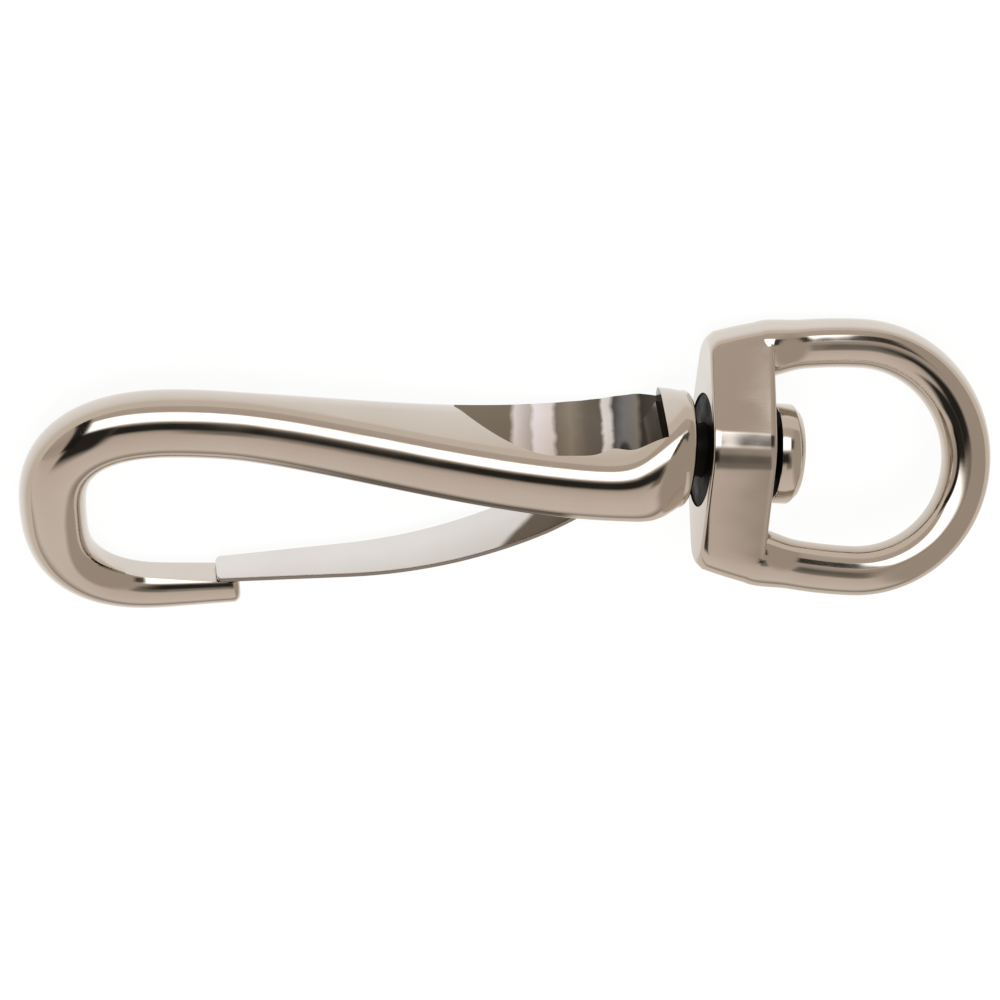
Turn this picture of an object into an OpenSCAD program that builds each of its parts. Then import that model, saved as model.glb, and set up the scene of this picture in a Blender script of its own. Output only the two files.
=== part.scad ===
/* [Rod and bow] */
// Diameter of the round rod that the hook is formed from
rod_d = 6.2; // [5:0.1:7]
// Half length of the bow's inner turn along the swivel axis, at the rod's centre line
bow_reach = 9.8; // [8.5:0.1:11]
// Half height of the bow across the swivel axis, at the rod's centre line
bow_rise = 9.35; // [9:0.05:11]
// How far the bow's centre sits below the swivel axis
bow_drop = 1; // [0.5:0.1:2]
// Angle in the hook's plane between the hook's own line and the swivel axis, in degrees
hook_rake = 9.7; // [6:0.1:12]
// Squareness of the bow's turn, where 2 is a circle
bow_square = 2.45; // [2:0.05:2.8]
// Distance from the collar's face to the bow's centre
bow_from_collar = 50; // [46:0.5:56]

/* [Nose] */
// Length of the nose from the bow's centre to its blunt tip
nose_len = 6.7; // [6:0.1:9]
// Diameter of the nose at its tip
nose_d = 3.7; // [3.2:0.1:4.5]
// How far the nose leans outward as it gets thinner, as a share of what it loses
nose_lean = 1.5; // [1:0.1:1.7]
// Depth of the flat seat that the gate closes on, at the nose's tip
seat_depth = 0.6; // [0.3:0.1:0.9]

/* [Shank] */
// Width of the shank where it is widest
shank_w = 14.2; // [12:0.1:15]
// Distance from the collar's face to the widest place
shank_wide_at = 6.5; // [5.5:0.1:7.5]
// How far the shank's middle hangs below the swivel axis there
shank_drop = 0.3; // [0:0.1:1.2]
// Length over which the round rod widens into the shank
flare_len = 36; // [28:0.5:40]
// Diameter of the collar at the end of the shank
collar_d = 10.9; // [10:0.1:12]
// Length of the round collar
collar_len = 2.6; // [2:0.1:3.5]
// Chamfer on the collar's rim
collar_chamfer = 0.5; // [0.3:0.1:0.8]

/* [Scoop] */
// Length of the scoop in the shank's back
scoop_len = 19.4; // [17:0.2:22]
// Length of its slanted run-in
scoop_run = 8; // [6:0.5:10]
// Depth of the scoop below the shank's back
scoop_depth = 1.3; // [1:0.1:2]
// Half width of the scoop towards the closed side
scoop_half_w = 3.2; // [3:0.1:3.6]
// Height of the rounded ridge in the scoop's floor
ridge_h = 0.9; // [0.5:0.1:1.2]

/* [Gate spring] */
// Thickness of the leaf
leaf_t = 0.5; // [0.4:0.05:0.7]
// Width of the leaf at its root
leaf_root_w = 6; // [5:0.1:6.2]
// Width of the leaf at its tip
leaf_tip_w = 3.1; // [2.6:0.1:3.6]
// How far the leaf laps over the nose's tip
leaf_lap = 2.1; // [1.5:0.1:3]
// Steepness of the leaf where it enters the shank, in degrees
leaf_entry = 32; // [26:1:38]
// How far the gate swings open, in degrees
gate_swing = 13; // [8:1:15]
// Clearance round the leaf in its slot
leaf_clear = 0.15; // [0.1:0.05:0.25]

/* [Swivel] */
// Diameter of the rivet's shaft
rivet_d = 5; // [4:0.1:6]
// Diameter of the rivet's head
head_d = 9.3; // [8.5:0.1:10.5]
// Length of the rivet's head
head_len = 2.4; // [2:0.1:3]
// Chamfer on the head's rim
head_chamfer = 0.75; // [0.4:0.05:1]
// Depth of the rivet's hole in the collar
rivet_hold = 2.4; // [2:0.1:2.6]
// Radial running clearance of the rivet in the hub
running_fit = 0.08; // [0.03:0.01:0.1]
// Gap between the collar and the hub
collar_gap = 1; // [0.6:0.1:1.5]
// Gap between the hub and the rivet's head
head_gap = 0.7; // [0.4:0.1:1]

/* [Eye] */
// Thickness of the hub along the swivel axis
hub_t = 5.1; // [4.5:0.1:6]
// Height of the hub's round boss
boss_d = 11.2; // [10.6:0.1:12]
// Diameter of the bar that the eye is bent from
bar_d = 4.6; // [4:0.1:5]
// Widest clear width of the eye for a strap
eye_clear_w = 16.6; // [14:0.2:18]
// Radius of the slight inward curve that takes each side of the eye to the hub
side_curve_r = 45; // [40:1:80]
// Distance from the hub to the far inside of the eye
eye_clear_len = 17.2; // [16:0.2:19]
// Thickness of the hub's rounded ends, a little more than the bar
hub_end_d = 5.2; // [4.8:0.1:6]
// Length of the bevel at each end of the hub, towards the hook
hub_bevel = 1; // [0.6:0.1:1.5]

/* [Lie] */
// Angle between the eye and the hook's plane, about the swivel axis, in degrees
eye_turn = 42; // [38:1:46]
// Angle that the hook leans at where it lies, from flat down to its nose, in degrees
hook_lean = 12.1; // [10:0.1:14]
// Angle at which the swivel axis rises towards the eye where it lies, in degrees
axis_rise = 0.9; // [0:0.1:3]

/* [Hidden] */
$fn = 48;
rod_r = rod_d / 2;
bow_x = -bow_from_collar;
spread_max = shank_w / 2 - rod_r;
wide_x = -shank_wide_at;
flare_x = wide_x - flare_len;
rod_steps = 22;
bow_steps = 20;
nose_steps = 5;
sides = 20;

// Centre line of the rod, as [x, u]: u is the height in the hook's own plane
function bezier(a, b, c, d, t) =
    pow(1 - t, 3) * a + 3 * pow(1 - t, 2) * t * b + 3 * (1 - t) * t * t * c + t * t * t * d;
function rod_point(t) = bezier(
    [wide_x, -shank_drop],
    [wide_x - 0.36 * (wide_x - bow_x), -shank_drop + 0.1],
    [bow_x + 0.28 * (wide_x - bow_x), bow_rise - bow_drop - 0.6],
    [bow_x, bow_rise - bow_drop], t);
function signed_pow(v, p) = sign(v) * pow(abs(v), p);
function bow_point(a) = [
    bow_x - bow_reach * pow(abs(sin(a)), 2 / bow_square),
    -bow_drop + bow_rise * signed_pow(cos(a), 2 / bow_square)];
function nose_point(t) = [bow_x + nose_len * t, -bow_drop - bow_rise];
neck_x = wide_x + 0.45 * (shank_wide_at - collar_len);
path = [
    [-collar_len + 0.4, 0],
    [-collar_len - 0.4, -0.15 * shank_drop],
    [neck_x, -0.6 * shank_drop],
    for (i = [0 : rod_steps]) rod_point(i / rod_steps),
    for (i = [1 : bow_steps - 1]) bow_point(180 * i / bow_steps),
    for (i = [0 : nose_steps]) nose_point(i / nose_steps)];
first_rod = 3;
last_rod = first_rod + rod_steps;
last_bow = last_rod + bow_steps - 1;
last = len(path) - 1;

// Radius of the section's round sides, and the half distance between them
function taper(i) = min(1, max(0, (i - last_rod - 0.55 * bow_steps) / (last - last_rod - 0.55 * bow_steps)));
function side_r(i) =
    i == 0 ? collar_d / 2 - 0.15 :
    i == 1 ? collar_d / 2 - 0.35 :
    i == 2 ? 0.55 * rod_r + 0.45 * collar_d / 2 :
    rod_r + (nose_d / 2 - rod_r) * (1 - pow(1 - taper(i), 1.5));
function spread(i) =
    i == 0 ? 0 :
    i == 1 ? 0.05 * spread_max :
    i == 2 ? 0.6 * spread_max :
    spread_max * pow(max(0, min(1, (path[i][0] - flare_x) / flare_len)), 1.3) * (i <= last_rod ? 1 : 0);
function heading(i) = let (d = path[min(last, i + 1)] - path[max(0, i - 1)]) d / norm(d);
function outward(i) = i > last_rod ? nose_lean * (rod_r - side_r(i)) : 0;
function ring(i) = let (
    h = heading(i),
    r = side_r(i),
    s = spread(i),
    x = path[i][0] + h[1] * outward(i),
    u = path[i][1] - h[0] * outward(i)) [
    for (k = [0 : sides - 1]) let (a = 360 * (k + 0.5) / sides)
        [x - h[1] * r * sin(a), u + h[0] * r * sin(a), s * sign(cos(a)) + r * cos(a)]];

// One smooth skin through all the rings, closed at both ends
module swept_rod() {
    rings = [for (i = [0 : last]) each ring(i)];
    polyhedron(rings, [
        [for (k = [sides - 1 : -1 : 0]) k],
        for (i = [0 : last - 1]) for (k = [0 : sides - 1])
            each [[i * sides + k, i * sides + (k + 1) % sides, (i + 1) * sides + k],
                [i * sides + (k + 1) % sides, (i + 1) * sides + (k + 1) % sides, (i + 1) * sides + k]],
        [for (k = [0 : sides - 1]) last * sides + k]]);
}

// Flat on the nose's inner side, from the bow's turn to the tip, a little deeper at the tip
seat_first = last_rod + round(0.72 * bow_steps);
function inner(i, depth) = let (h = heading(i))
    path[i] + (side_r(i) - outward(i) - depth) * [-h[1], h[0]];
seat_line = [for (i = [seat_first : last]) inner(i, seat_depth * (i - seat_first) / (last - seat_first))];
module nose_seat() {
    translate([0, 0, -rod_r]) linear_extrude(rod_d) polygon([
        each seat_line,
        inner(last, seat_depth) + [1, 0],
        inner(last, -1) + [1, 0],
        inner(seat_first, -2.5)]);
}

// The gate's leaf: its centre line runs from the tip to the root, as [x, u]
leaf_turn_r = 40;
leaf_straight = 2.6;
root_turn_r = 15;
root_turn = 34;
nose_tip_x = bow_x + nose_len;
tip_x = nose_tip_x - leaf_lap;
entry = [wide_x - 2.8, -shank_drop - rod_r + 0.3];
bend_end = entry - leaf_straight * [cos(leaf_entry), sin(leaf_entry)];
bend_centre = bend_end + leaf_turn_r * [-sin(leaf_entry), cos(leaf_entry)];
tip_gap = 0.12;
tip_u = lookup(tip_x, seat_line) + tip_gap + leaf_t / 2;
bend_start_a = 1;
bend_steps = 12;
root_steps = 6;
leaf_line = [
    [tip_x, tip_u],
    for (i = [0 : bend_steps]) let (a = -bend_start_a + (leaf_entry + bend_start_a) * i / bend_steps)
        bend_centre + leaf_turn_r * [sin(a), -cos(a)],
    for (i = [0 : root_steps]) let (a = leaf_entry + root_turn * i / root_steps)
        entry + root_turn_r * [sin(a) - sin(leaf_entry), cos(leaf_entry) - cos(a)]];
pivot = entry + root_turn_r * [
    sin(leaf_entry + root_turn / 2) - sin(leaf_entry), cos(leaf_entry) - cos(leaf_entry + root_turn / 2)];
leaf_last = len(leaf_line) - 1;

// A strip of one thickness along the leaf's centre line, from one of its points to another
module leaf_strip(from, to, thick) {
    side = [for (i = [from : to])
        let (d = leaf_line[min(leaf_last, i + 1)] - leaf_line[max(0, i - 1)])
            thick / 2 * [-d[1], d[0]] / norm(d)];
    polygon([
        for (i = [from : to]) leaf_line[i] + side[i - from],
        for (i = [to : -1 : from]) leaf_line[i] - side[i - from]]);
}

module gate_spring() {
    color("gainsboro") lying() raked() intersection() {
        translate([0, 0, -leaf_root_w / 2]) linear_extrude(leaf_root_w) leaf_strip(0, leaf_last, leaf_t);
        rotate([90, 0, 0]) translate([0, 0, -20]) linear_extrude(40) leaf_plan();
    }
}

// The leaf seen on its broad side: it narrows from the shank to a tip with round corners
module leaf_plan() {
    corner = 0.8;
    half_tip = leaf_tip_w / 2;
    root_x = bend_end[0] - 3;
    for (side = [-1, 1]) translate([tip_x + corner, side * (half_tip - corner)]) circle(corner);
    polygon([
        [tip_x, corner - half_tip], [tip_x + corner, -half_tip], [root_x, -leaf_root_w / 2],
        [20, -leaf_root_w / 2], [20, leaf_root_w / 2], [root_x, leaf_root_w / 2],
        [tip_x + corner, half_tip], [tip_x, half_tip - corner]]);
}

// Slot that the leaf's root passes through, wide enough for the leaf's whole swing
module leaf_slot() {
    slot_w = leaf_root_w + 2 * leaf_clear;
    swing_steps = 4;
    translate([0, 0, -slot_w / 2]) linear_extrude(slot_w)
        for (i = [0 : swing_steps])
            translate(pivot) rotate(-gate_swing * i / swing_steps) translate(-pivot)
                leaf_strip(bend_steps - 1, leaf_last, leaf_t + 2 * leaf_clear);
}

// Scoop in the shank's back, closed on one side and open on the other
scoop_end_x = -collar_len - 0.2;
back_u = rod_r - shank_drop;
floor_u = back_u - scoop_depth;
ridge_x = wide_x - 0.3;
ridge_r = 1.8;
module scoop() {
    start_x = scoop_end_x - scoop_len;
    intersection() {
        translate([0, 8, 0]) rotate([90, 0, 0]) linear_extrude(16) polygon([
            [start_x, -0.9 * scoop_half_w], [start_x + scoop_run, scoop_half_w],
            [scoop_end_x, scoop_half_w], [scoop_end_x, -shank_w], [start_x, -shank_w]]);
        translate([0, 0, -shank_w]) linear_extrude(2 * shank_w) difference() {
            polygon([
                [start_x, 8], [start_x, back_u + 1.7],
                [start_x + scoop_run, floor_u + 1],
                [start_x + scoop_run + 4, floor_u + 0.2],
                [wide_x - 2, floor_u], [scoop_end_x, floor_u], [scoop_end_x, 8]]);
            translate([ridge_x, floor_u + ridge_h - ridge_r]) circle(ridge_r);
        }
    }
}

module collar() {
    rotate([0, -90, 0]) {
        cylinder(h = collar_chamfer, r1 = collar_d / 2 - collar_chamfer, r2 = collar_d / 2);
        translate([0, 0, collar_chamfer]) cylinder(h = collar_len - collar_chamfer, r = collar_d / 2);
    }
}

module hook_body() {
    color("silver") lying() difference() {
        union() {
            raked() difference() {
                swept_rod();
                nose_seat();
                scoop();
                leaf_slot();
            }
            collar();
        }
        translate([-rivet_hold, 0, 0]) rotate([0, 90, 0]) cylinder(h = rivet_hold + 1, r = rivet_d / 2);
    }
}

// The rivet turns with the hook: its shaft is held in the collar and runs in the hub
hub_x = collar_gap;
head_x = hub_x + hub_t + head_gap;
module swivel_rivet() {
    color("silver") lying() rotate([0, 90, 0]) {
        translate([0, 0, -rivet_hold]) cylinder(h = rivet_hold + head_x + 0.5, r = rivet_d / 2);
        translate([0, 0, head_x]) cylinder(h = head_len - head_chamfer, r = head_d / 2);
        translate([0, 0, head_x + head_len - head_chamfer])
            cylinder(h = head_chamfer, r1 = head_d / 2, r2 = head_d / 2 - head_chamfer);
    }
}

// The eye: a bored hub whose ends run into the bent bar, which is a half ring with curved sides
bar_r = bar_d / 2;
bend_r = eye_clear_w / 2 + bar_r;
arc_x = hub_x + hub_t + eye_clear_len - eye_clear_w / 2;
hub_far_x = hub_x + hub_t;
side_angle = asin((arc_x - hub_x - 0.4 * hub_t) / side_curve_r);
hub_half = bend_r - side_curve_r + sqrt(pow(side_curve_r, 2) - pow(arc_x - hub_far_x, 2));
hub_side_r = side_curve_r + hub_end_d / 2;
module eye_side() {
    translate([arc_x, bend_r - side_curve_r, 0]) rotate([0, 0, 90])
        rotate_extrude(angle = side_angle) translate([side_curve_r, 0]) circle(bar_r);
}

// The hub's outline seen along the swivel axis: a round boss with tangent sides to the ends
module hub_front() {
    end_r = hub_end_d / 2;
    boss_r = boss_d / 2;
    lean = asin((boss_r - end_r) / hub_half);
    circle(boss_r);
    for (side = [-1, 1]) translate([side * hub_half, 0]) circle(end_r);
    for (side = [-1, 1]) scale([side, 1]) polygon([
        [0, boss_r], [boss_r * sin(lean), boss_r * cos(lean)],
        [hub_half + end_r * sin(lean), end_r * cos(lean)],
        [hub_half + end_r * sin(lean), -end_r * cos(lean)],
        [boss_r * sin(lean), -boss_r * cos(lean)], [0, -boss_r]]);
}

// The hub's outline seen on the eye's broad side: its ends follow the sides of the eye
module hub_plan() {
    bevel_y = bend_r - side_curve_r + sqrt(pow(hub_side_r, 2) - pow(arc_x - hub_x, 2)) - 0.6 * hub_bevel;
    intersection() {
        translate([arc_x, bend_r - side_curve_r]) circle(hub_side_r, $fn = 180);
        translate([arc_x, side_curve_r - bend_r]) circle(hub_side_r, $fn = 180);
        polygon([
            [hub_x, -bevel_y], [hub_x + hub_bevel, -bend_r], [hub_far_x, -2 * bend_r],
            [hub_far_x, 2 * bend_r], [hub_x + hub_bevel, bend_r], [hub_x, bevel_y]]);
    }
}

module swivel_eye() {
    color("silver") lying() turned() difference() {
        union() {
            intersection() {
                translate([hub_x, 0, 0]) rotate([90, 0, 90]) linear_extrude(hub_t) hub_front();
                translate([0, 0, -boss_d]) linear_extrude(2 * boss_d) hub_plan();
            }
            eye_side();
            mirror([0, 1, 0]) eye_side();
            translate([arc_x, 0, 0]) rotate([0, 0, -90])
                rotate_extrude(angle = 180) translate([bend_r, 0]) circle(bar_r);
        }
        translate([hub_x - 1, 0, 0]) rotate([0, 90, 0]) cylinder(h = hub_t + 2, r = rivet_d / 2 + running_fit);
    }
}

// The hook is raked to its own line, and the eye is turned out of the hook's plane. The whole thing
// lies on its nose, its shank and the eye's low side, with the middle of the eye at the origin.
eye_x = hub_far_x + eye_clear_len / 2;
module raked() { rotate([0, 0, hook_rake]) children(); }
module turned() { rotate([-eye_turn, 0, 0]) children(); }
module lying() { rotate([0, -axis_rise, 0]) rotate([hook_lean, 0, 0]) translate([-eye_x, 0, 0]) children(); }

hook_body();
gate_spring();
swivel_eye();
swivel_rivet();
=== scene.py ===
import math

import bmesh
import bpy
from mathutils import Matrix, Vector


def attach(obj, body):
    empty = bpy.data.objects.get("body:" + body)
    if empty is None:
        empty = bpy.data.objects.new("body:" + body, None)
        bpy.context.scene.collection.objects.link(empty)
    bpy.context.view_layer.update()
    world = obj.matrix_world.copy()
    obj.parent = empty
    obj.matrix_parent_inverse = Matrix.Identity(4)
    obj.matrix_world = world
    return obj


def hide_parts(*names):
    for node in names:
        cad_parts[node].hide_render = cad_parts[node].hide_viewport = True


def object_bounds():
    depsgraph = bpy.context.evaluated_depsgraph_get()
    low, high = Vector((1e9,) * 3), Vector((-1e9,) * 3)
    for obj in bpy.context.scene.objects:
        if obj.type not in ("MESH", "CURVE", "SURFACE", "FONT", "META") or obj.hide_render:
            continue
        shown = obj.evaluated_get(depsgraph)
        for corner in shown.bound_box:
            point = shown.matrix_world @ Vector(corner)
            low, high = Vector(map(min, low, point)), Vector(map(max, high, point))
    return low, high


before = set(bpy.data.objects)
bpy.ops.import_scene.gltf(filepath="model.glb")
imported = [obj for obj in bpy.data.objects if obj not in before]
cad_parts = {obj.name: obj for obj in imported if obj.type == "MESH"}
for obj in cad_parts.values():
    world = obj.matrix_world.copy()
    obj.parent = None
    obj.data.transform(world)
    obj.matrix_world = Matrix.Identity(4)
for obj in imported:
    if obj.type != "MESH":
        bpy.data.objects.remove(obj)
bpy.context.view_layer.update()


# Hook body: one zinc casting, polished on a wheel and nickel plated. The round rod comes round the bow
# to a tapered nose, and widens the other way into the shank, which ends in a round collar.
# The scoop in the shank's back is cast in and the wheel doesn't reach it.

# Sizes are in millimetres and degrees, on the swivel's axis: x runs along it from the collar's face
# towards the eye, u towards the hook's back and n across the hook.
HOOK_RAKE = 9.7
HOOK_LEAN = 12.1
AXIS_RISE = 0.9
EYE_MIDDLE = 16.0
ROD_R = 3.1
COLLAR_R = 5.45
COLLAR_LEN = 0.8
COLLAR_RIM = ((0.0, 4.95), (-0.07, 5.15), (-0.25, COLLAR_R - 0.1), (-0.45, COLLAR_R))
WIDE_X = -5.2
SHANK_DROP = 0.3
SHANK_SPREAD = 4.0
NECK_POWER = 1.7
SHOULDER = 0.8
SHOULDER_SPREAD = 3.0
FLARE_LEN = 36.0
FLARE_POWER = 1.3
BOW_X = -48.7
BOW_REACH = 9.8
BOW_RISE = 9.35
BOW_DROP = 1.0
BOW_POWER = 2 / 2.45
NOSE_LEN = 6.7
NOSE_R = 1.85
NOSE_LEAN = 1.5
NOSE_EDGE = 0.7
NOSE_POWER = 1.5
SEAT_DEPTH = 0.6

# The rod's curve leaves the shank and meets the bow straight over these shares of its length.
SHANK_PULL = 0.36
SHANK_LIFT = 0.1
BOW_PULL = 0.28
BOW_SAG = 0.6

# Stations count along the hook: neck, rod, bow and nose, each with a start, an end and its samples.
NECK_END = 3
BOW_START = 25
TAPER_START = 36
SEAT_START = 39
BOW_END = 45
NOSE_TIP = 50
SAMPLES = ((0, NECK_END, 14), (NECK_END, BOW_START, 130), (BOW_START, BOW_END, 110),
           (BOW_END, NOSE_TIP, 16))

# Passes that even out the samples: all of them, the neck's, and the radii from the rod on.
WHOLE_PASSES = 13
NECK_PASSES = 60
NECK_SAMPLES = 45
TAPER_PASSES = 150
TAPER_SAMPLE = 60

NICKEL = "#D9D2CA"
NICKEL_SHADE = "#CFC6BC"

# Directions aside, up and towards the viewer as the photo shows the part lying. Marks on the metal,
# the room's light and the camera are placed along them.
ASIDE = Vector((0.98066, 0.12773, 0.14829))
OVER = Vector((-0.03584, 0.86207, -0.50552))
AWAY = Vector((-0.19241, 0.49043, 0.84997))


def lying(rake=0.0, turn=0.0):
    """Takes millimetres on the swivel axis to where the part lies, in metres."""
    return (Matrix.Scale(0.001, 4)
            @ Matrix.Rotation(math.radians(-AXIS_RISE), 4, "Y")
            @ Matrix.Rotation(math.radians(HOOK_LEAN), 4, "X")
            @ Matrix.Translation((-EYE_MIDDLE, 0, 0))
            @ Matrix.Rotation(math.radians(-turn), 4, "X")
            @ Matrix.Rotation(math.radians(rake), 4, "Z"))


def linear(colour):
    """A hex colour as the linear RGBA that a socket takes."""
    parts = [int(colour[i:i + 2], 16) / 255 for i in (1, 3, 5)]
    return [c / 12.92 if c <= 0.04045 else ((c + 0.055) / 1.055) ** 2.4 for c in parts] + [1.0]


def feed(tree, node, inputs):
    """Sets a node's inputs: a socket is linked, anything else is the value."""
    for key, value in inputs.items():
        if isinstance(value, bpy.types.NodeSocket):
            tree.links.new(value, node.inputs[key])
        else:
            node.inputs[key].default_value = value


def add_node(tree, kind, inputs=None, **settings):
    """A shader node with its settings, and its inputs as values or as sockets to link."""
    made = tree.nodes.new(kind)
    for key, value in settings.items():
        setattr(made, key, value)
    feed(tree, made, inputs or {})
    return made


def object_place(tree):
    """The place on the piece, in its own coordinates."""
    return add_node(tree, "ShaderNodeTexCoord").outputs["Object"]


def noise(tree, place, scale, detail):
    """Even clouds in space, from 0 to 1."""
    return add_node(tree, "ShaderNodeTexNoise",
                    {"Vector": place, "Scale": scale, "Detail": detail}).outputs["Fac"]


def calculate(tree, operation, *values):
    """The result of one calculation with numbers or sockets."""
    return add_node(tree, "ShaderNodeMath", dict(enumerate(values)), operation=operation).outputs["Value"]


def component(tree, value, direction):
    """How far a place or a direction goes along a given direction."""
    return add_node(tree, "ShaderNodeVectorMath", {0: value, 1: direction},
                    operation="DOT_PRODUCT").outputs["Value"]


def soft_step(tree, value, low, high):
    """A share that goes softly from 0 at the low value to 1 at the high one."""
    return add_node(tree, "ShaderNodeMapRange", {"Value": value, "From Min": low, "From Max": high},
                    interpolation_type="SMOOTHSTEP").outputs["Result"]


def blend(tree, share, one, other):
    """A colour between two, by the share of the other."""
    return add_node(tree, "ShaderNodeMix", {"Factor": share, "A": one, "B": other},
                    data_type="RGBA").outputs["Result"]


def colour_ramp(tree, value, low, high, stops):
    """A row of colours between a low and a high value, each at its share of the way."""
    share = add_node(tree, "ShaderNodeMapRange", {"Value": value, "From Min": low, "From Max": high})
    ramp = add_node(tree, "ShaderNodeValToRGB", {"Fac": share.outputs["Result"]})
    elements = ramp.color_ramp.elements
    while len(elements) < len(stops):
        elements.new(0.5)
    for element, (at, colour) in zip(elements, stops):
        element.position = at
        element.color = linear(colour)
    return ramp.outputs["Color"]


def set_shader(material, inputs):
    """Sets inputs of the material's own shader."""
    feed(material.node_tree, material.node_tree.nodes["Principled BSDF"], inputs)


def darken(material, share, colour):
    """Blends the material's colour into a darker one, by a share from its own nodes."""
    tree = material.node_tree
    bright = tree.nodes["Principled BSDF"].inputs["Base Color"].links[0].from_socket
    set_shader(material, {"Base Color": blend(tree, share, bright, linear(colour))})


def loft(bm, rings, material=0):
    """Skins closed rings of points, one after the other, and closes both ends."""
    loops = [[bm.verts.new(point) for point in ring] for ring in rings]
    count = len(loops[0])
    for one, two in zip(loops, loops[1:]):
        for k in range(count):
            face = bm.faces.new((one[k], one[(k + 1) % count], two[(k + 1) % count], two[k]))
            face.material_index = material
    for end in (loops[0], loops[-1]):
        bm.faces.new(end).material_index = material
    bmesh.ops.recalc_face_normals(bm, faces=bm.faces)


def solid(name, bm, matrix, *materials):
    """The finished bmesh as an object at the origin, with its place in the mesh."""
    bm.transform(matrix)
    bmesh.ops.recalc_face_normals(bm, faces=bm.faces)
    mesh = bpy.data.meshes.new(name)
    bm.to_mesh(mesh)
    bm.free()
    for material in materials:
        mesh.materials.append(material)
    made = bpy.data.objects.new(name, mesh)
    bpy.context.collection.objects.link(made)
    return made


def carve(made, *cutters, operation="DIFFERENCE"):
    """Cuts the cutters from the piece, or joins them to it, and takes them away."""
    for cutter in cutters:
        step = made.modifiers.new(cutter.name, "BOOLEAN")
        step.operation = operation
        step.object = cutter
        step.solver = "EXACT"
        step.material_mode = "TRANSFER"
    result = bpy.data.meshes.new_from_object(made.evaluated_get(bpy.context.evaluated_depsgraph_get()))
    made.modifiers.clear()
    made.data = result
    for cutter in cutters:
        bpy.data.objects.remove(cutter)


def soften(made, angle):
    """Shades the piece smooth up to that angle and leaves its flats flat."""
    bm = bmesh.new()
    bm.from_mesh(made.data)
    bmesh.ops.remove_doubles(bm, verts=bm.verts, dist=1e-7)
    for face in bm.faces:
        face.smooth = True
    for edge in bm.edges:
        edge.smooth = len(edge.link_faces) == 2 and edge.calc_face_angle(0) < math.radians(angle)
    bm.to_mesh(made.data)
    bm.free()
    step = made.modifiers.new("Even normals", "WEIGHTED_NORMAL")
    step.keep_sharp = True
    step.weight = 80


def clamp(t):
    return min(1.0, max(0.0, t))


def smooth_step(t):
    t = clamp(t)
    return t * t * (3 - 2 * t)


def evened(values):
    """The values between the ends, each drawn halfway to the mean of its neighbours."""
    return [0.25 * a + 0.5 * b + 0.25 * c for a, b, c in zip(values, values[1:], values[2:])]


def headings(points):
    """The direction of a line at each of its points."""
    last = len(points) - 1
    return [(points[min(k + 1, last)] - points[max(k - 1, 0)]).normalized() for k in range(len(points))]


def hook_station(i):
    """Centre (x, u), side radius and spread at station i."""
    if i < NECK_END:
        w = i / NECK_END
        radius = COLLAR_R + (ROD_R - COLLAR_R) * smooth_step(w)
        spread = SHANK_SPREAD * (1 - (1 - w) ** NECK_POWER)
        return Vector((-COLLAR_LEN + (WIDE_X + COLLAR_LEN) * w, -SHANK_DROP * w)), radius, spread
    if i <= BOW_START:
        t = (i - NECK_END) / (BOW_START - NECK_END)
        span = WIDE_X - BOW_X
        points = (Vector((WIDE_X, -SHANK_DROP)),
                  Vector((WIDE_X - SHANK_PULL * span, SHANK_LIFT - SHANK_DROP)),
                  Vector((BOW_X + BOW_PULL * span, BOW_RISE - BOW_DROP - BOW_SAG)),
                  Vector((BOW_X, BOW_RISE - BOW_DROP)))
        weights = ((1 - t) ** 3, 3 * (1 - t) ** 2 * t, 3 * (1 - t) * t * t, t ** 3)
        centre = sum((w * p for w, p in zip(weights, points)), Vector((0.0, 0.0)))
        flare = clamp((centre.x - WIDE_X + FLARE_LEN) / FLARE_LEN)
        return centre, ROD_R, SHANK_SPREAD * flare ** FLARE_POWER
    taper = clamp((i - TAPER_START) / (NOSE_TIP - TAPER_START))
    radius = ROD_R + (NOSE_R - ROD_R) * (1 - (1 - taper) ** NOSE_POWER)
    if i <= BOW_END:
        a = math.radians(180 * (i - BOW_START) / (BOW_END - BOW_START))
        rise = math.copysign(abs(math.cos(a)) ** BOW_POWER, math.cos(a))
        centre = Vector((BOW_X - BOW_REACH * abs(math.sin(a)) ** BOW_POWER, -BOW_DROP + BOW_RISE * rise))
    else:
        run = (NOSE_LEN - NOSE_EDGE) * (i - BOW_END) / (NOSE_TIP - BOW_END)
        centre = Vector((BOW_X + run, -BOW_DROP - BOW_RISE))
    return centre, radius, 0.0


def hook_stations():
    """Close stations along the hook, with the small kinks where its curves meet taken out."""
    marks = [start + (end - start) * k / count for start, end, count in SAMPLES for k in range(count)]
    marks.append(float(NOSE_TIP))
    values = [hook_station(i) for i in marks]
    centres, radii, spreads = ([v[k] for v in values] for k in range(3))
    for turn in range(NECK_PASSES):
        last = len(marks) if turn < WHOLE_PASSES else NECK_SAMPLES
        for row in (centres, radii, spreads):
            row[1:last - 1] = evened(row[:last])
    for turn in range(TAPER_PASSES):
        radii[TAPER_SAMPLE:-1] = evened(radii[TAPER_SAMPLE - 1:])
    return list(zip(marks, centres, headings(centres), radii, spreads))


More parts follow.
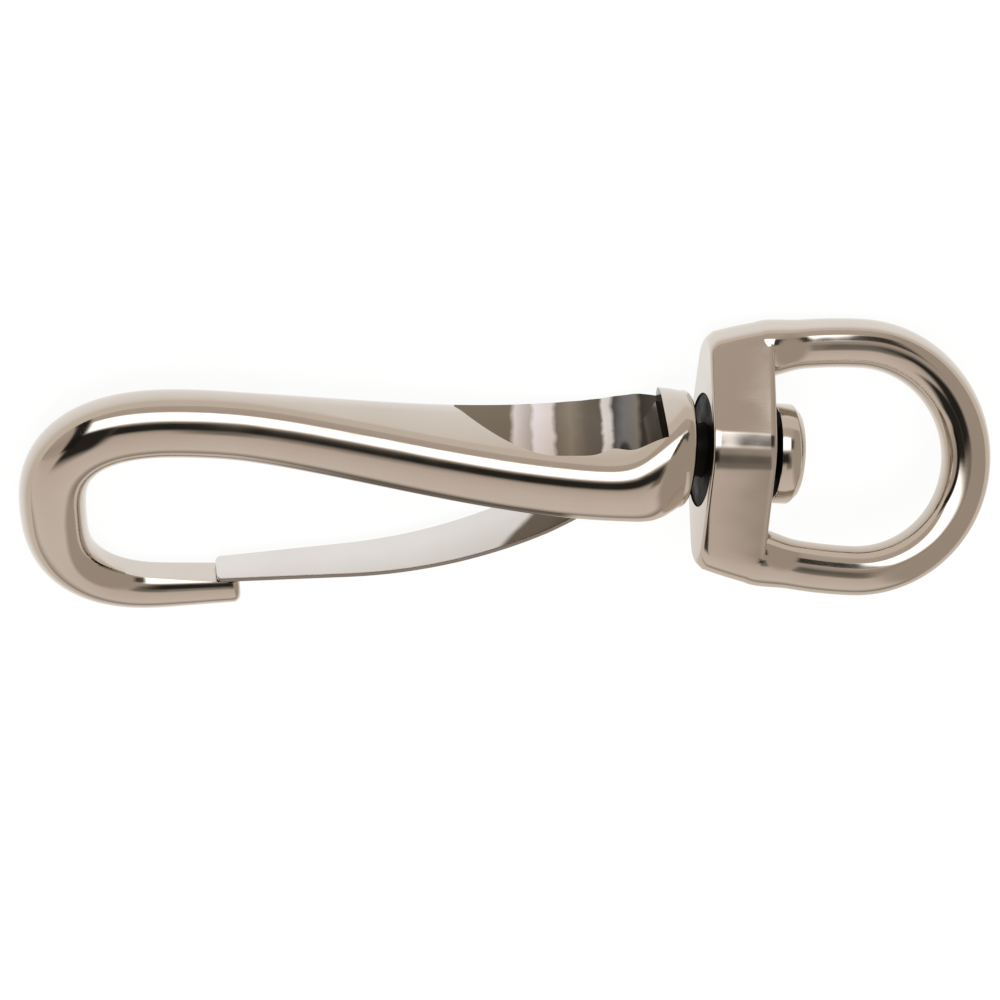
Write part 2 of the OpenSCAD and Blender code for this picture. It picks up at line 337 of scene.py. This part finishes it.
def hook_ring(centre, heading, radius, spread, rake):
    """A section of the hook: two half circles, a spread apart, square to its heading.
    The shank's shoulder towards the mouth is a little squarer than a circle."""
    turned = Matrix.Rotation(math.radians(rake), 3, "Z")
    squareness = 2 + SHOULDER * min(1.0, spread / SHOULDER_SPREAD)
    ring = []
    for k in range(96):
        a = math.tau * (k + 0.5) / 96
        power = 2 / squareness if a < math.pi / 2 else 1.0
        out = radius * math.copysign(abs(math.sin(a)) ** power, math.sin(a))
        up = radius * math.copysign(abs(math.cos(a)) ** power, math.cos(a))
        ring.append(turned @ Vector((centre.x - heading.y * out, centre.y + heading.x * out,
                                     math.copysign(spread, math.cos(a)) + up)))
    return ring


STATIONS = hook_stations()
rings = [hook_ring(Vector((x, 0.0)), Vector((-1.0, 0.0)), radius, 0.0, 0.0) for x, radius in COLLAR_RIM]
for mark, centre, heading, radius, spread in STATIONS:
    out = NOSE_LEAN * (ROD_R - radius) if mark > BOW_START else 0.0
    middle = centre + out * Vector((heading.y, -heading.x))
    rings.append(hook_ring(middle, heading, radius, spread, HOOK_RAKE * smooth_step(mark / NECK_END)))
for k in range(1, 7):
    a = math.radians(15 * k)
    rings.append(hook_ring(middle + heading * NOSE_EDGE * math.sin(a), heading,
                           radius - NOSE_EDGE * (1 - math.cos(a)), 0.0, HOOK_RAKE))
skin = bmesh.new()
loft(skin, rings)


# The wheel leaves very fine lines and the casting a faint waviness, so long reflections waver a little.
def plated_metal(name, rough, wave):
    """Plated metal with its mean roughness and the height of its slow waves in metres."""
    material = bpy.data.materials.new(name)
    material.use_nodes = True
    tree = material.node_tree
    place = object_place(tree)
    sheen = add_node(tree, "ShaderNodeMapRange", {
        "Value": noise(tree, place, 420.0, 6.0), "From Min": 0.3, "From Max": 0.7,
        "To Min": rough * 0.75, "To Max": rough * 1.35})
    swell = add_node(tree, "ShaderNodeBump", {
        "Height": noise(tree, place, 210.0, 1.0), "Strength": 1.0, "Distance": wave})
    lines = add_node(tree, "ShaderNodeMapping", {"Vector": place, "Scale": (600.0, 5200.0, 5200.0)})
    grain = add_node(tree, "ShaderNodeBump", {
        "Height": noise(tree, lines.outputs["Vector"], 1.0, 3.0), "Strength": 0.4,
        "Distance": 0.0000016, "Normal": swell.outputs["Normal"]})
    set_shader(material, {"Metallic": 1.0, "Roughness": sheen.outputs["Result"],
                          "Normal": grain.outputs["Normal"]})
    return material


def polished_nickel(name, base, shade, rough, wave):
    """Bright nickel plate: a warm grey metal, a little clouded, with soft-edged reflections."""
    material = plated_metal(name, rough, wave)
    tree = material.node_tree
    cloud = noise(tree, object_place(tree), 140.0, 4.0)
    set_shader(material, {"Base Color": blend(tree, cloud, linear(base), linear(shade))})
    return material


hook_nickel = polished_nickel("Polished nickel plate on the hook", NICKEL, NICKEL_SHADE,
                              rough=0.085, wave=0.00003)

# A thin dark line of painted shade lies where the shank's flank turns under, over the leaf and its slot:
# the shade and dark reflection of the leaf below, painted into the colour.
# It is there where the metal faces one way, and fades between two places along the shank.
tree = hook_nickel.node_tree
facing = add_node(tree, "ShaderNodeNewGeometry").outputs["Normal"]
place = object_place(tree)
share = 1.0
for value, direction, low, high in ((facing, -OVER, 0.80, 0.88), (facing, AWAY, 0.0, 0.12),
                                    (place, ASIDE, -0.060, -0.043), (place, ASIDE, -0.0255, -0.0275)):
    step = soft_step(tree, component(tree, value, direction), low, high)
    share = calculate(tree, "MULTIPLY", share, step)
darken(hook_nickel, share, "#5E554A")

# In the scoop the plate lies on the casting as it came from the mould, rougher than outside. Its colour is
# painted: a darker olive that is partly its duller tone and partly painted shade of the recess, streaked
# across with bright painted reflections. The streaks' places are shares of the scoop's length.
SCOOP_BANDS_START = -0.0367
SCOOP_BANDS_END = -0.0172
SCOOP_BANDS_RAGGED = 0.0007
SCOOP_PAINTED_BANDS = ((0.0, "#7A6E5E"), (0.26, "#776B5C"), (0.285, "#D8CCC8"), (0.355, "#B5A8A0"),
           (0.375, "#E6DCDC"), (0.46, "#D9CDC8"), (0.485, "#776C5E"),
           (0.55, "#8A7E70"), (0.62, "#6A6055"), (0.69, "#5E554B"),
           (0.705, "#D8CFC8"), (0.735, "#CFC6C0"), (0.755, "#4A443E"), (0.80, "#6E6C6C"), (0.86, "#7C746A"),
           (0.885, "#39332C"), (1.0, "#4C463F"))
scoop_nickel = plated_metal("Streaked nickel plate in the scoop", rough=0.2, wave=0.00006)
tree = scoop_nickel.node_tree
place = object_place(tree)
along = calculate(tree, "MULTIPLY_ADD", noise(tree, place, 500.0, 2.0), SCOOP_BANDS_RAGGED,
                  component(tree, place, ASIDE))
set_shader(scoop_nickel, {"Base Color": colour_ramp(tree, along, SCOOP_BANDS_START, SCOOP_BANDS_END, SCOOP_PAINTED_BANDS)})

# The scoop is a trough with a curved closed side, a stepped, rippled floor and a hump at its deep end.
SCOOP_START = -21.1
SCOOP_END = -2.0
SCOOP_SIDE = 3.2
SCOOP_CURVE = 6.1
SCOOP_CURVE_LEN = 8.4
SCOOP_CURVE_POWER = 1.7
SCOOP_FILLET = 0.35
SCOOP_OPEN_U = 8.0
SCOOP_OPEN_N = -9.0
SCOOP_RUN = ((-21.1, 4.55), (-16.0, 3.15), (-12.3, 2.35), (-8.9, 1.7), (-7.2, 1.5), (0.0, 1.5))
RIPPLE = 0.03
HUMP_X = -7.0
HUMP_RISE = 1.0
HUMP_LEN = 1.25
BULGE = 0.8
BULGE_LEN = 1.3


def scoop_floor(x, n):
    """Height of the scoop's floor."""
    for (x0, u0), (x1, u1) in zip(SCOOP_RUN, SCOOP_RUN[1:]):
        if x0 <= x <= x1:
            height = u0 + (u1 - u0) * (x - x0) / (x1 - x0)
            break
    ripple = RIPPLE * math.sin(2.9 * x) * smooth_step((x + 17) / 3)
    hump = HUMP_RISE * math.exp(-((x - HUMP_X) / HUMP_LEN) ** 2) * smooth_step((n + 4.5) / 7)
    return height + ripple + hump


def scoop_ring(x):
    """The cutter's section at x: closed side, fillet, floor and the way out of the shank."""
    side = SCOOP_SIDE - SCOOP_CURVE * (1 - clamp((x - SCOOP_START) / SCOOP_CURVE_LEN)) ** SCOOP_CURVE_POWER
    side -= BULGE * math.exp(-((x - HUMP_X) / BULGE_LEN) ** 2)
    ring = [(side, SCOOP_OPEN_U)]
    for k in range(7):
        a = math.radians(15 * k)
        n = side - SCOOP_FILLET * (1 - math.cos(a))
        ring.append((n, scoop_floor(x, n) + SCOOP_FILLET * (1 - math.sin(a))))
    for k in range(1, 25):
        n = side - SCOOP_FILLET - (side - SCOOP_FILLET - SCOOP_OPEN_N) * k / 24
        ring.append((n, scoop_floor(x, n)))
    ring.append((SCOOP_OPEN_N, SCOOP_OPEN_U))
    return [Vector((x, u, n)) for n, u in ring]


cut = bmesh.new()
loft(cut, [scoop_ring(SCOOP_START + (SCOOP_END - SCOOP_START) * k / 130) for k in range(131)])
scoop = solid("Scoop cutter", cut, lying(HOOK_RAKE), scoop_nickel)

# Flat on the inner side of the nose that the gate's leaf closes on.
seat = []
for mark, centre, heading, radius, spread in STATIONS:
    if mark >= SEAT_START:
        depth = SEAT_DEPTH * (mark - SEAT_START) / (NOSE_TIP - SEAT_START)
        height = radius - NOSE_LEAN * (ROD_R - radius) - depth
        seat.append(centre + height * Vector((-heading.y, heading.x)))
outer = [seat[-1] + Vector((1.5, 0.0)), seat[-1] + Vector((1.5, 2.5)), seat[0] + Vector((2.5, 2.5))]
cut = bmesh.new()
loft(cut, [[Vector((p.x, p.y, n)) for p in seat + outer] for n in (-5.0, 5.0)])
nose_seat = solid("Seat cutter", cut, lying(HOOK_RAKE), hook_nickel)

hook = solid("hook_casting", skin, lying(), hook_nickel, scoop_nickel)
carve(hook, scoop, nose_seat)
soften(hook, angle=28)
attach(hook, "hook")
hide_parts("hook_body")


# Gate spring: a stamped strip of spring steel, nickel plated and left flat and bright. Its root is held in
# the shank's slot, it comes down in a long bend and its narrow tip closes on the nose's seat.
LEAF_T = 0.5
LEAF_TIP_W = 3.1
LEAF_ROOT_W = 6.0
LEAF_EDGE = 0.1
LEAF_BACK = 2.8
LEAF_SUNK = 0.3
LEAF_ENTRY = math.radians(32)
LEAF_TURN_R = 40.0
LEAF_RISE = math.radians(-1)
LEAF_STRAIGHT = 2.6
LEAF_WIDEN_END = 3
ROOT_TURN_R = 15.0
ROOT_TURN = math.radians(34)
LEAF_LAP = 2.1
TIP_GAP = 0.12
TIP_ROUND = 0.5


def on_bend(a):
    """The place on the leaf's long bend where it heads down by the angle."""
    return bend_centre + LEAF_TURN_R * Vector((math.sin(a), -math.cos(a)))


entry = Vector((WIDE_X - LEAF_BACK, LEAF_SUNK - SHANK_DROP - ROD_R))
bend_end = entry - LEAF_STRAIGHT * Vector((math.cos(LEAF_ENTRY), math.sin(LEAF_ENTRY)))
bend_centre = bend_end + LEAF_TURN_R * Vector((-math.sin(LEAF_ENTRY), math.cos(LEAF_ENTRY)))
tip_x = BOW_X + NOSE_LEN - LEAF_LAP
seat_below = min(seat, key=lambda p: abs(p.x - tip_x))
tip = Vector((tip_x, seat_below.y + TIP_GAP + LEAF_T / 2))
line = [tip + (on_bend(LEAF_RISE) - tip) * k / 60 for k in range(60)]
line += [on_bend(LEAF_RISE + (LEAF_ENTRY - LEAF_RISE) * k / 69) for k in range(70)]
for k in range(1, 27):
    a = LEAF_ENTRY + ROOT_TURN * k / 26
    turn = Vector((math.sin(a) - math.sin(LEAF_ENTRY), math.cos(LEAF_ENTRY) - math.cos(a)))
    line.append(entry + ROOT_TURN_R * turn)
rings = []
widen_end = bend_end.x - LEAF_WIDEN_END
for point, heading in zip(line, headings(line)):
    side = Vector((-heading.y, heading.x))
    width = LEAF_TIP_W + (LEAF_ROOT_W - LEAF_TIP_W) * clamp((point.x - tip_x) / (widen_end - tip_x))
    corner = min(TIP_ROUND, point.x - tip_x)
    half = width / 2
    half += math.sqrt(max(0.0, TIP_ROUND ** 2 - (TIP_ROUND - corner) ** 2)) - TIP_ROUND
    ring = []
    for sn, su, start in ((1, 1, 0), (-1, 1, 90), (-1, -1, 180), (1, -1, 270)):
        for k in range(4):
            a = math.radians(start + 30 * k)
            n = sn * (half - LEAF_EDGE) + LEAF_EDGE * math.cos(a)
            u = su * (LEAF_T / 2 - LEAF_EDGE) + LEAF_EDGE * math.sin(a)
            ring.append(Vector((point.x + side.x * u, point.y + side.y * u, n)))
    rings.append(ring)
strip = bmesh.new()
loft(strip, rings)

# The strip's long edges are sheared, so the plate on them is duller; their darker grey is painted shade on
# the narrow edges.
EDGE_FACING = 0.7
for face in strip.faces:
    if abs(face.normal.z) > EDGE_FACING:
        face.material_index = 1
sheared_nickel = polished_nickel("Nickel plate on the sheared edges", "#A39C96", "#8F8882",
                                 rough=0.3, wave=0.00001)

# The strip's bend under the shank has painted shade: the hook's shadow and dark reflection on it are
# painted into its colour.
# The shade begins on a slant across the strip, with a slightly ragged border.
ROOT_SHADE_SLANT = (1.01507, -0.69986, 0.63359)
ROOT_SHADE_START = -0.0249
ROOT_SHADE_FULL = -0.0241
ROOT_SHADE_RAGGED = 0.0006
leaf_nickel = polished_nickel("Nickel plate on rolled spring steel", "#E3DFDC", "#DAD5D0",
                              rough=0.16, wave=0.000008)
tree = leaf_nickel.node_tree
place = object_place(tree)
slant = calculate(tree, "MULTIPLY_ADD", noise(tree, place, 300.0, 2.0), ROOT_SHADE_RAGGED,
                  component(tree, place, ROOT_SHADE_SLANT))
darken(leaf_nickel, soft_step(tree, slant, ROOT_SHADE_START, ROOT_SHADE_FULL), "#6B6054")

leaf = solid("leaf_gate", strip, lying(HOOK_RAKE), leaf_nickel, sheared_nickel)
soften(leaf, angle=40)
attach(leaf, "gate")
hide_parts("gate_spring")


# Swivel eye: a second casting, polished and nickel plated like the hook. A hub with a round boss and
# rounded ends runs without a seam into the bent bar that takes the strap.
EYE_TURN = 42
HUB_X = 1.4
HUB_T = 6.0
HUB_END_R = 2.6
HUB_EDGE = 0.3
HUB_BEVEL = 0.7
HUB_BEVEL_RATE = 0.6
BOSS_R = 5.6
BORE_R = 2.58
GAP_FACE_R = 5.3
GAP_FACE_T = 0.15
BAR_R = 2.3
BAR_SUNK = 0.4 * HUB_T
BEND_R = 10.6
ARC_X = 16.3
SIDE_R = 45.0
SIDE_STEPS = 30
BEND_STEPS = 80
SWELL = 0.38
SWELL_START = 0.3
SWELL_GROW = 3.4
SWELL_PAST = 3.4
SWELL_FADE = 3.8
side_turn = math.asin((ARC_X - HUB_X - BAR_SUNK) / SIDE_R)
hub_far = HUB_X + HUB_T


def hub_end(x):
    """Half length of the hub at x: it follows the eye's sides and is bevelled towards the hook."""
    full = BEND_R - SIDE_R + math.sqrt((SIDE_R + HUB_END_R) ** 2 - (ARC_X - x) ** 2)
    return full - HUB_BEVEL_RATE * max(0.0, 1 - (x - HUB_X) / HUB_BEVEL) * HUB_BEVEL


def hub_ring(x, inset):
    """The hub's outline at x: a boss, tangent sides and rounded ends, drawn in by the inset."""
    middle = hub_end(x) - HUB_END_R
    lean = math.asin((BOSS_R - HUB_END_R) / middle)
    boss, end = BOSS_R - inset, HUB_END_R - inset
    boss_arc = [(boss * math.sin(a), boss * math.cos(a)) for a in (lean * k / 12 for k in range(13))]
    end_arc = [(middle + end * math.sin(a), end * math.cos(a))
               for a in (lean + (math.pi / 2 - lean) * k / 16 for k in range(17))]
    (y0, z0), (y1, z1) = boss_arc[-1], end_arc[0]
    side = [(y0 + (y1 - y0) * k / 12, z0 + (z1 - z0) * k / 12) for k in range(1, 12)]
    quarter = boss_arc + side + end_arc
    half = quarter + [(y, -z) for y, z in reversed(quarter[:-1])]
    outline = half + [(-y, z) for y, z in reversed(half[1:-1])]
    return [Vector((x, y, z)) for y, z in outline]


edge_arc = [(HUB_EDGE * (1 - math.cos(a)), HUB_EDGE * (1 - math.sin(a)))
            for a in (math.radians(18 * k) for k in range(6))]
rings = [hub_ring(HUB_X + deep, inset) for deep, inset in edge_arc]
rings += [hub_ring(HUB_X + HUB_EDGE + (HUB_T - 2 * HUB_EDGE) * k / 14, 0.0) for k in range(1, 15)]
rings += [hub_ring(hub_far - deep, inset) for inset, deep in edge_arc[1:]]
hub_mesh = bmesh.new()
loft(hub_mesh, rings)


def bar_ring(centre, heading, radius):
    """A round section of the bent bar, in the eye's plane."""
    side = Vector((-heading.y, heading.x))
    return [Vector((centre.x + side.x * radius * math.cos(a), centre.y + side.y * radius * math.cos(a),
                    radius * math.sin(a))) for a in (math.tau * (k + 0.5) / 56 for k in range(56))]


# The bar runs from inside the hub along one side, round the bend and back along the other side.
rings = []
for k in range(BEND_STEPS + 2 * SIDE_STEPS + 1):
    if k < SIDE_STEPS:
        a = side_turn * (1 - k / SIDE_STEPS)
        centre = Vector((ARC_X - SIDE_R * math.sin(a), BEND_R - SIDE_R + SIDE_R * math.cos(a)))
        heading = Vector((math.cos(a), math.sin(a)))
    elif k <= SIDE_STEPS + BEND_STEPS:
        a = math.pi * (k - SIDE_STEPS) / BEND_STEPS
        centre = Vector((ARC_X + BEND_R * math.sin(a), BEND_R * math.cos(a)))
        heading = Vector((math.cos(a), -math.sin(a)))
    else:
        a = side_turn * (k - SIDE_STEPS - BEND_STEPS) / SIDE_STEPS
        centre = Vector((ARC_X - SIDE_R * math.sin(a), -(BEND_R - SIDE_R + SIDE_R * math.cos(a))))
        heading = Vector((-math.cos(a), math.sin(a)))
    swell = SWELL * (smooth_step((hub_far + SWELL_PAST - centre.x) / SWELL_FADE)
                     * smooth_step((centre.x - HUB_X - BAR_SUNK - SWELL_START) / SWELL_GROW))
    rings.append(bar_ring(centre, heading, BAR_R + swell))
bar_mesh = bmesh.new()
loft(bar_mesh, rings)

# The swivel's gap lies in deep shade, painted into its faces as a nearly black colour.
gap_painted_shade = polished_nickel("Near-black painted shade in the swivel's gap", "#0E0C08", "#080704",
                             rough=0.5, wave=0.00002)
set_shader(gap_painted_shade, {"Metallic": 0.0, "Specular IOR Level": 0.12})
eye_nickel = polished_nickel("Polished nickel plate on the eye", NICKEL, NICKEL_SHADE,
                             rough=0.075, wave=0.00004)
eye = solid("swivel_eye_casting", hub_mesh, lying(turn=EYE_TURN), eye_nickel, gap_painted_shade)
bar = solid("Bar", bar_mesh, lying(turn=EYE_TURN), eye_nickel)
carve(eye, bar, operation="UNION")


def round_cutter(name, radius, middle, length, segments):
    """A round cutter on the swivel's axis."""
    cut = bmesh.new()
    bmesh.ops.create_cone(cut, cap_ends=True, segments=segments, depth=length,
                          radius1=radius, radius2=radius,
                          matrix=Matrix.Translation((middle, 0, 0)) @ Matrix.Rotation(math.pi / 2, 4, "Y"))
    return solid(name, cut, lying(turn=EYE_TURN), gap_painted_shade)


bore = round_cutter("Bore cutter", BORE_R, HUB_X + HUB_T / 2, HUB_T + 2, segments=64)
face_cut = round_cutter("Face cutter", GAP_FACE_R, HUB_X - 1 + GAP_FACE_T, 2, segments=96)
carve(eye, bore, face_cut)
soften(eye, angle=32)
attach(eye, "eye")
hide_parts("swivel_eye")


# Rivet: turned from steel and nickel plated. Its shaft is pressed into the collar and its chamfered
# head keeps the eye on.
RIVET_R = 2.5
RIVET_FOOT = -1.4
HEAD_R = 4.65
HEAD_X = 8.1
HEAD_LEN = 2.4
HEAD_CHAMFER = 0.75
HEAD_END = HEAD_X + HEAD_LEN
profile = ((RIVET_FOOT, 0.0), (RIVET_FOOT, RIVET_R), (HEAD_X, RIVET_R),
           (HEAD_X, HEAD_R - 0.15), (HEAD_X + 0.05, HEAD_R - 0.04), (HEAD_X + 0.15, HEAD_R),
           (HEAD_END - HEAD_CHAMFER - 0.06, HEAD_R), (HEAD_END - HEAD_CHAMFER + 0.06, HEAD_R - 0.06),
           (HEAD_END - 0.1, HEAD_R - HEAD_CHAMFER + 0.1), (HEAD_END, HEAD_R - HEAD_CHAMFER - 0.12),
           (HEAD_END, 0.0))
turned = bmesh.new()
points = [turned.verts.new((x, 0.0, r)) for x, r in profile]
edges = [turned.edges.new(pair) for pair in zip(points, points[1:])]
bmesh.ops.spin(turned, geom=points + edges, cent=(0, 0, 0), axis=(1, 0, 0), angle=math.tau, steps=96,
               use_merge=True)
bmesh.ops.remove_doubles(turned, verts=turned.verts, dist=1e-5)

# The shaft and the underside of the head lie in the gap, so they take its painted shade.
for face in turned.faces:
    if face.calc_center_median().x < HEAD_X + 0.01:
        face.material_index = 1
rivet_nickel = polished_nickel("Nickel plate on the turned rivet", NICKEL, NICKEL_SHADE,
                               rough=0.11, wave=0.00001)
rivet = solid("rivet", turned, lying(), rivet_nickel, gap_painted_shade)
soften(rivet, angle=30)
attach(rivet, "hook")
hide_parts("swivel_rivet")


# Studio: the part lies on white paper in an evenly lit, slightly warm room. A long bright panel and dark
# cards with soft edges stand round it, and the metal shows them as bands along its rods.
FLOOR_DEPTH = 0.00005
FLOOR_GLOW = 0.93
floor_material = bpy.data.materials.new("White paper")
floor_material.use_nodes = True
tree = floor_material.node_tree
tree.nodes.clear()
rays = add_node(tree, "ShaderNodeLightPath")
# To the metal the paper is painted darker and warmer further from the part, a painted fall-off of the
# light; to the camera it glows evenly white.
near = add_node(tree, "ShaderNodeMapRange", {
    "Value": rays.outputs["Ray Length"], "From Min": 0.006, "From Max": 0.022,
    "To Min": 1.0, "To Max": 0.0})
shown = blend(tree, near.outputs["Result"], linear("#DACFC4"), linear("#FFFFFF"))
tint = blend(tree, rays.outputs["Is Glossy Ray"], linear("#FFFFFF"), shown)
paper = add_node(tree, "ShaderNodeBsdfDiffuse", {"Color": linear("#F2F2F0")})
glow = add_node(tree, "ShaderNodeEmission", {"Color": tint, "Strength": 1.0})
surface = add_node(tree, "ShaderNodeMixShader",
                   {0: FLOOR_GLOW, 1: paper.outputs["BSDF"], 2: glow.outputs["Emission"]})
add_node(tree, "ShaderNodeOutputMaterial", {"Surface": surface.outputs["Shader"]})
sheet = bmesh.new()
bmesh.ops.create_grid(sheet, x_segments=1, y_segments=1, size=3.0,
                      matrix=Matrix.Translation((0, 0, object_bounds()[0].z - FLOOR_DEPTH)))
floor = solid("White paper floor", sheet, Matrix.Identity(4), floor_material)

# The room's tone goes round the part by the angle over it, in degrees from the viewer. Each card has a
# colour, a strength, and the angles over and aside where it starts, is full, begins to fade and ends.
ROOM = ((-180, "#E0D6CE"), (-131, "#CABFB5"), (-124, "#948A80"), (-112, "#B0A69D"), (-100, "#E4DAD2"),
        (-60, "#DCD0C6"), (-38, "#D2C5BA"), (-28, "#BFB3A8"), (0, "#B4A89D"),
        (44, "#C2B5A9"), (62, "#C8BCB1"),
        (80, "#D0C5BA"), (94, "#DBD0C6"), (108, "#EEE7E0"), (122, "#FFFFFF"), (180, "#FAF4EE"))
ROOM_SIDE = "#B3A79B"
ROOM_SIDE_START = 24.0
ROOM_SIDE_FULL = 36.0
CARDS = (("#7F7870", 1.0, (-44, -32, -14, -4), (8, 15, 24, 30)),
         ("#2A2825", 1.0, (-30, -19, -5, 7), (-16, -8, 14, 28)),
         ("#2C2A27", 1.0, (-62, -40, 0, 8), (-46, -38, -14, -5)),
         ("#FFFFFF", 2.2, (2, 13, 34, 39.5), (-35, -29, 22, 26)),
         ("#3F3A34", 1.0, (6, 14, 32, 38), (22.5, 24.5, 30, 36)),
         ("#22201D", 1.0, (-32, -22, 58, 78), (-50, -45, -36, -32)))
world = bpy.data.worlds.new("Studio")
bpy.context.scene.world = world
world.use_nodes = True
tree = world.node_tree
tree.nodes.clear()
way = add_node(tree, "ShaderNodeTexCoord").outputs["Generated"]


def degrees(operation, *values):
    """An angle from a calculation, in degrees."""
    return calculate(tree, "MULTIPLY", calculate(tree, operation, *values), math.degrees(1))


def window(angle, start, full, fade, end):
    """1 between the two full places of an angle, falling softly to 0 on both sides."""
    return calculate(tree, "MULTIPLY", soft_step(tree, angle, start, full),
                     soft_step(tree, angle, end, fade))


over = degrees("ARCTAN2", component(tree, way, OVER), component(tree, way, AWAY))
aside = degrees("ARCSINE", component(tree, way, ASIDE))
room = colour_ramp(tree, over, -180.0, 180.0, [((angle + 180) / 360, colour) for angle, colour in ROOM])
room = blend(tree, soft_step(tree, aside, ROOM_SIDE_START, ROOM_SIDE_FULL), room, linear(ROOM_SIDE))
for colour, strength, over_window, aside_window in CARDS:
    share = calculate(tree, "MULTIPLY", window(over, *over_window), window(aside, *aside_window))
    room = blend(tree, share, room, [strength * c for c in linear(colour)[:3]] + [1.0])
studio = add_node(tree, "ShaderNodeBackground", {"Color": room, "Strength": 1.0})
white = add_node(tree, "ShaderNodeBackground", {"Color": linear("#FFFFFF"), "Strength": 1.0})
seen = add_node(tree, "ShaderNodeLightPath").outputs["Is Camera Ray"]
pick = add_node(tree, "ShaderNodeMixShader",
                {0: seen, 1: studio.outputs["Background"], 2: white.outputs["Background"]})
add_node(tree, "ShaderNodeOutputWorld", {"Surface": pick.outputs["Shader"]})

lamp = bpy.data.lights.new("Soft panel", "AREA")
lamp.shape = "RECTANGLE"
lamp.size = 0.9
lamp.size_y = 0.5
lamp.energy = 9.0
lamp.color = (1.0, 0.98, 0.95)
panel = bpy.data.objects.new("Soft panel", lamp)
panel.location = (-0.1, 0.15, 0.9)
panel.rotation_euler = Vector((0.1, -0.15, -0.9)).to_track_quat("-Z", "Y").to_euler()
panel.visible_glossy = False
bpy.context.collection.objects.link(panel)

# Camera: a long lens about 0.4 m from the part, rolled so that the part lies across the picture.
CAMERA_PLACE = (-0.109389, 0.189305, 0.338526)
lens = bpy.data.cameras.new("Camera")
lens.lens = 155.16
lens.sensor_width = 36.0
lens.clip_start = 0.01
lens.clip_end = 20.0
camera = bpy.data.objects.new("Camera", lens)
view = Matrix((ASIDE, OVER, AWAY)).transposed().to_4x4()
view.translation = Vector(CAMERA_PLACE)
camera.matrix_world = view
bpy.context.collection.objects.link(camera)
bpy.context.scene.camera = camera
bpy.context.scene.view_settings.view_transform = "Standard"
